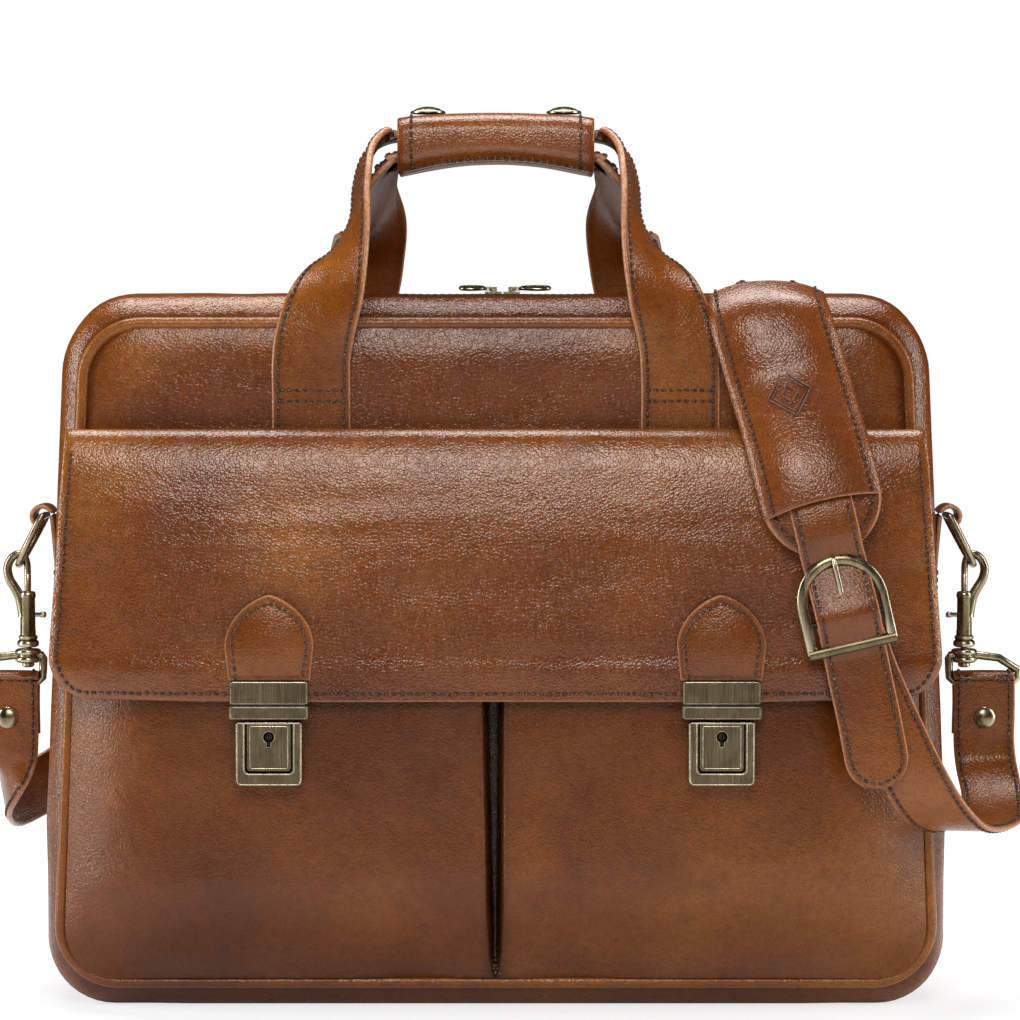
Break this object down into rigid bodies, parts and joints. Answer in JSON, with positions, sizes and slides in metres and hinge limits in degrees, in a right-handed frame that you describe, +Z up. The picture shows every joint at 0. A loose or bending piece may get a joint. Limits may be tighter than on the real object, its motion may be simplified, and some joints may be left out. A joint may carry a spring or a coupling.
{
  "type": "leather briefcase",
  "caption": "Soft leather briefcase with a flap over bellied pockets, push locks, twin handle, zipped top and a clipped-on padded shoulder strap.",
  "frame": {"origin": "centre of the flat base that the case stands on", "axes": "+X along the width, to the right seen from the front; +Y to the back; +Z up"},
  "size_m": [0.4836, 0.1675, 0.4046],
  "materials": {
    "case_leather": "satin",
    "pocket_leather": "satin",
    "strap_leather": "satin",
    "padded_leather": "satin",
    "zip_tape": "matte",
    "board": "matte",
    "antique_brass": "brushed"
  },
  "bodies": {
    "bag": {"front_panel": "case_leather", "back_panel": "case_leather", "piping_front": "case_leather", "piping_back": "case_leather", "body_gusset": "case_leather", "top_gusset_front": "case_leather", "top_gusset_rear": "case_leather", "zip_tape": "zip_tape", "zip_teeth": "antique_brass", "base_board": "board", "pocket_left": "pocket_leather", "pocket_right": "pocket_leather", "lock_case_left": "antique_brass", "lock_case_right": "antique_brass", "handle_foot_front_left": "strap_leather", "handle_foot_front_right": "strap_leather", "handle_foot_rear_left": "strap_leather", "handle_foot_rear_right": "strap_leather", "side_tab_left": "strap_leather", "side_tab_right": "strap_leather", "swivel_loop_left": "antique_brass", "swivel_loop_right": "antique_brass", "strap_end_left": "strap_leather", "strap_end_right": "strap_leather", "rivet_left": "antique_brass", "rivet_right": "antique_brass", "strap_rear_run": "strap_leather", "shoulder_pad_upper": "padded_leather", "strap_lower_loop": "strap_leather"},
    "flap": {"flap_panel": "case_leather", "lock_tab_left": "case_leather", "lock_tab_right": "case_leather", "clasp_left": "antique_brass", "clasp_right": "antique_brass"},
    "strap_front": {"shoulder_pad_lower": "padded_leather", "strap_front_run": "strap_leather", "strap_short_run": "strap_leather", "buckle_frame": "antique_brass"},
    "prong": {"buckle_prong": "antique_brass"},
    "handle": {"handle_strap_front": "strap_leather", "handle_strap_rear": "strap_leather", "grip_padding": "padded_leather", "grip_base": "strap_leather"},
    "wrap_leaf": {"grip_leaf": "strap_leather", "snap_cap_left": "antique_brass", "snap_cap_right": "antique_brass"},
    "push_left": {"push_plate_left": "antique_brass"},
    "key_left": {"key_post_left": "antique_brass"},
    "slider_left": {"zip_slider_left": "antique_brass"},
    "pull_left": {"zip_pull_left": "antique_brass"},
    "ring_left": {"d_ring_left": "antique_brass"},
    "hook_left": {"snap_hook_left": "antique_brass"},
    "bolt_left": {"hook_bolt_left": "antique_brass"},
    "push_right": {"push_plate_right": "antique_brass"},
    "key_right": {"key_post_right": "antique_brass"},
    "slider_right": {"zip_slider_right": "antique_brass"},
    "pull_right": {"zip_pull_right": "antique_brass"},
    "ring_right": {"d_ring_right": "antique_brass"},
    "hook_right": {"snap_hook_right": "antique_brass"},
    "bolt_right": {"hook_bolt_right": "antique_brass"}
  },
  "joints": [
    {"name": "flap_open", "type": "hinge", "parent": "bag", "child": "flap", "pos_m": [0, -0.06, 0.255], "axis": [-1, 0, 0], "range_deg": [0, 60]},
    {"name": "strap_lift", "type": "hinge", "parent": "bag", "child": "strap_front", "pos_m": [0, -0.06, 0.255], "axis": [-1, 0, 0], "range_deg": [0, 60]},
    {"name": "prong_turn", "type": "hinge", "parent": "strap_front", "child": "prong", "pos_m": [0.153, -0.0964, 0.1785], "axis": [0.9744, 0, 0.225], "range_deg": [0, 25]},
    {"name": "handle_lean", "type": "hinge", "parent": "bag", "child": "handle", "pos_m": [0, 0, 0.312], "axis": [1, 0, 0], "range_deg": [-12, 12], "stiffness_Nm_per_rad": 1.5},
    {"name": "wrap_open", "type": "hinge", "parent": "handle", "child": "wrap_leaf", "pos_m": [0, -0.015, 0.3765], "axis": [1, 0, 0], "range_deg": [0, 90]},
    {"name": "push_left_slide", "type": "slide", "parent": "bag", "child": "push_left", "axis": [0, 0, -1], "range_m": [0, 0.0018], "stiffness_N_per_m": 200, "springref_m": -0.003},
    {"name": "key_left_turn", "type": "hinge", "parent": "push_left", "child": "key_left", "pos_m": [-0.099, -0.0905, 0.1262], "axis": [0, 1, 0], "range_deg": [0, 90]},
    {"name": "zip_left_slide", "type": "slide", "parent": "bag", "child": "slider_left", "axis": [-1, 0, 0], "range_m": [0, 0.14]},
    {"name": "pull_left_lift", "type": "hinge", "parent": "slider_left", "child": "pull_left", "pos_m": [-0.0012, 0, 0.3229], "axis": [0, 1, 0], "range_deg": [0, 80]},
    {"name": "ring_left_swing", "type": "hinge", "parent": "bag", "child": "ring_left", "pos_m": [-0.2073, 0, 0.219], "axis": [0, 1, 0], "range_deg": [-2, 1]},
    {"name": "hook_left_turn", "type": "hinge", "parent": "bag", "child": "hook_left", "pos_m": [-0.215, 0, 0.1582], "axis": [0, 0, 1], "range_deg": [-10, 10]},
    {"name": "bolt_left_slide", "type": "slide", "parent": "hook_left", "child": "bolt_left", "axis": [0, 0, -1], "range_m": [0, 0.0045], "stiffness_N_per_m": 150, "springref_m": -0.004},
    {"name": "push_right_slide", "type": "slide", "parent": "bag", "child": "push_right", "axis": [0, 0, -1], "range_m": [0, 0.0018], "stiffness_N_per_m": 200, "springref_m": -0.003},
    {"name": "key_right_turn", "type": "hinge", "parent": "push_right", "child": "key_right", "pos_m": [0.099, -0.0905, 0.1262], "axis": [0, 1, 0], "range_deg": [0, 90]},
    {"name": "zip_right_slide", "type": "slide", "parent": "bag", "child": "slider_right", "axis": [1, 0, 0], "range_m": [0, 0.085]},
    {"name": "pull_right_lift", "type": "hinge", "parent": "slider_right", "child": "pull_right", "pos_m": [0.0072, 0, 0.3229], "axis": [0, -1, 0], "range_deg": [0, 80]},
    {"name": "ring_right_swing", "type": "hinge", "parent": "bag", "child": "ring_right", "pos_m": [0.2073, 0, 0.219], "axis": [0, -1, 0], "range_deg": [-2, 1]},
    {"name": "hook_right_turn", "type": "hinge", "parent": "bag", "child": "hook_right", "pos_m": [0.215, 0, 0.1582], "axis": [0, 0, 1], "range_deg": [-10, 10]},
    {"name": "bolt_right_slide", "type": "slide", "parent": "hook_right", "child": "bolt_right", "axis": [0, 0, -1], "range_m": [0, 0.0045], "stiffness_N_per_m": 150, "springref_m": -0.004}
  ],
  "couplings": [
    {"joint": "strap_lift", "follows": "flap_open", "ratio": 1}
  ]
}
